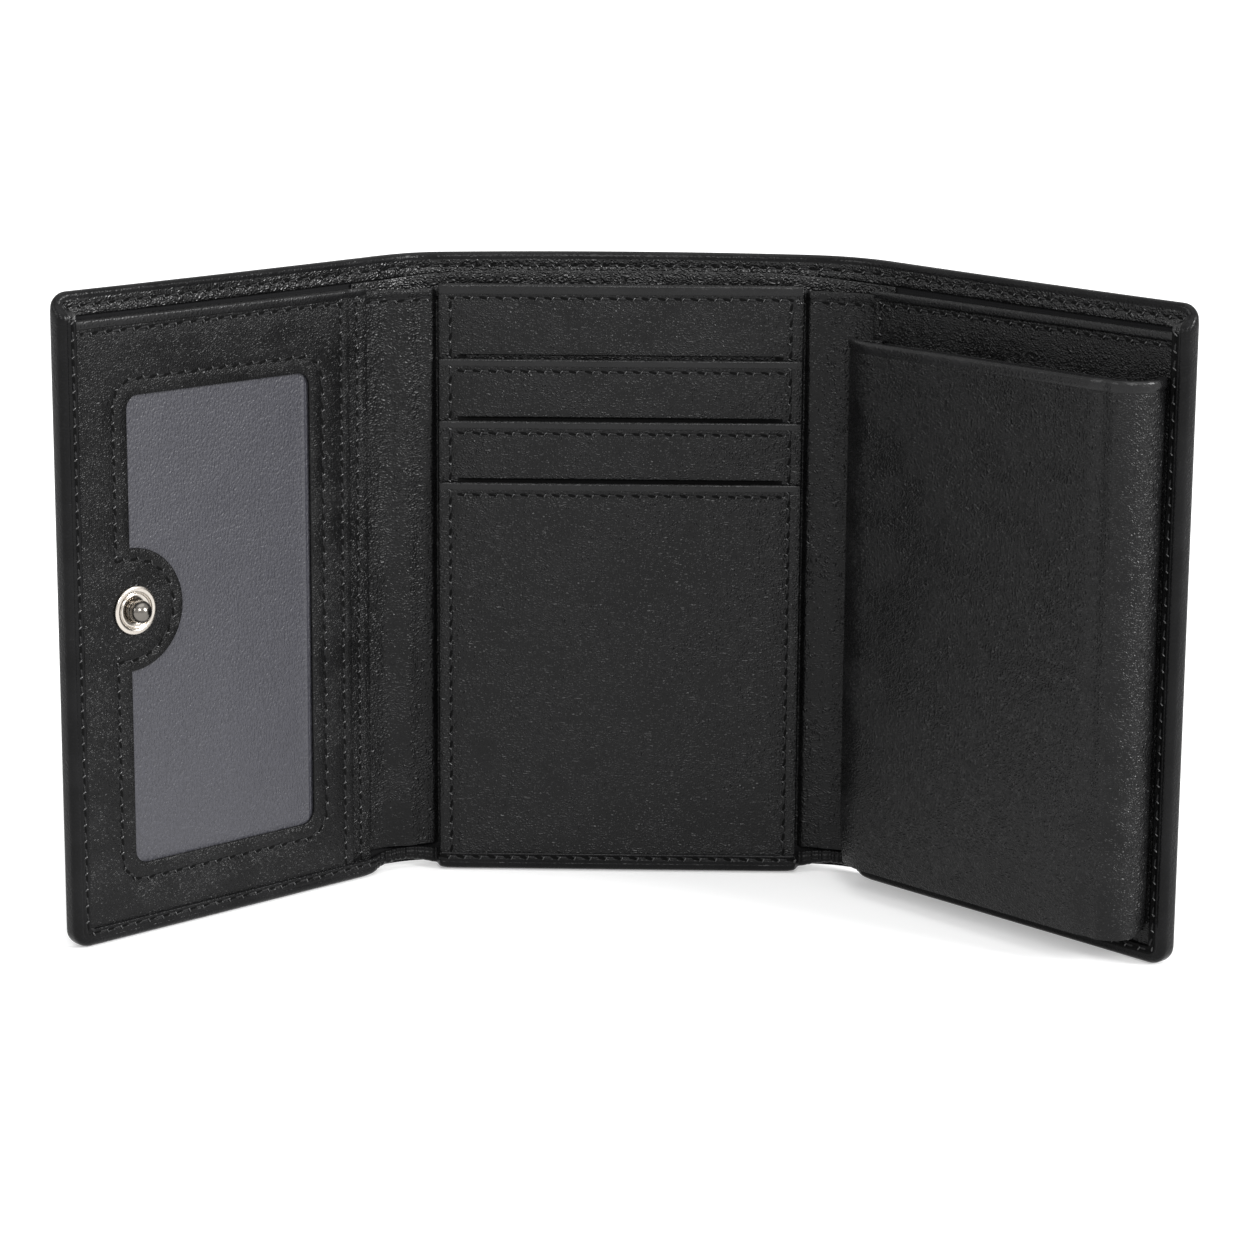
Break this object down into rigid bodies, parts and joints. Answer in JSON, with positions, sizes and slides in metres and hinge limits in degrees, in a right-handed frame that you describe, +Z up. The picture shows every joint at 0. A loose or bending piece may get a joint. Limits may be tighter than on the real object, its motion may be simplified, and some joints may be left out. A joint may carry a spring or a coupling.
{
  "type": "trifold wallet",
  "caption": "Open black leather trifold wallet with card pockets, a bill compartment, an ID window, a gusseted coin pocket and a ball snap",
  "frame": {"origin": "middle of the centre panel's bottom edge, on the surface it stands on", "axes": "+X towards the coin pocket panel, +Y out of the back of the centre panel, +Z up"},
  "size_m": [0.1765, 0.0599, 0.105],
  "materials": {
    "leather": "fine grain, satin",
    "leather_edge": "smooth turned edge",
    "stiffener": "matte board",
    "lining": "woven, matte",
    "film": "frosted",
    "nickel": "polished"
  },
  "bodies": {
    "centre_panel": {"centre_shell": "leather", "centre_board": "stiffener", "centre_lining": "lining", "centre_facing": "leather", "centre_binding": "leather_edge", "centre_base": "leather", "card_backing": "leather", "card_pocket_upper": "leather", "card_pocket_middle": "leather", "card_pocket_lower": "leather", "left_spine_shell": "leather", "left_spine_lining": "lining", "left_spine_facing": "leather", "left_spine_inner": "leather", "right_spine_shell": "leather", "right_spine_lining": "lining", "right_spine_facing": "leather", "right_spine_inner": "leather"},
    "left_panel": {"left_shell": "leather", "left_board": "stiffener", "left_lining": "lining", "left_facing": "leather", "left_binding": "leather_edge", "left_base": "leather", "id_window_frame": "leather", "id_window_film": "film", "snap_stud": "nickel", "snap_stud_eyelet": "nickel"},
    "right_panel": {"right_shell": "leather", "right_board": "stiffener", "right_lining": "lining", "right_facing": "leather", "right_binding": "leather_edge", "right_base": "leather", "coin_back_lining": "lining", "snap_socket": "nickel", "snap_socket_spring": "nickel", "snap_socket_eyelet": "nickel", "coin_side_wall": "leather", "coin_fold_gusset": "leather", "coin_floor_gusset": "leather"},
    "coin_pocket_front": {"coin_front": "leather", "coin_front_lining": "lining"}
  },
  "joints": [
    {"name": "left_fold", "type": "hinge", "parent": "centre_panel", "child": "left_panel", "pos_m": [-0.0348, -0.0074, 0], "axis": [0, 0, 1], "range_deg": [-43.5, 136.5], "deforming": ["left_spine_shell", "left_spine_lining", "left_spine_facing", "left_spine_inner"]},
    {"name": "right_fold", "type": "hinge", "parent": "centre_panel", "child": "right_panel", "pos_m": [0.0379, -0.0043, 0], "axis": [0, 0, -1], "range_deg": [-45, 135], "deforming": ["right_spine_shell", "right_spine_lining", "right_spine_facing", "right_spine_inner"]},
    {"name": "coin_pocket_squeeze", "type": "slide", "parent": "right_panel", "child": "coin_pocket_front", "axis": [0.7071, 0.7071, 0], "range_m": [-0.00183, 0.0055], "deforming": ["coin_side_wall", "coin_fold_gusset", "coin_floor_gusset"]}
  ],
  "couplings": [
    {"joint": "coin_pocket_squeeze", "follows": "right_fold", "m_per_rad": 0.0023343}
  ]
}
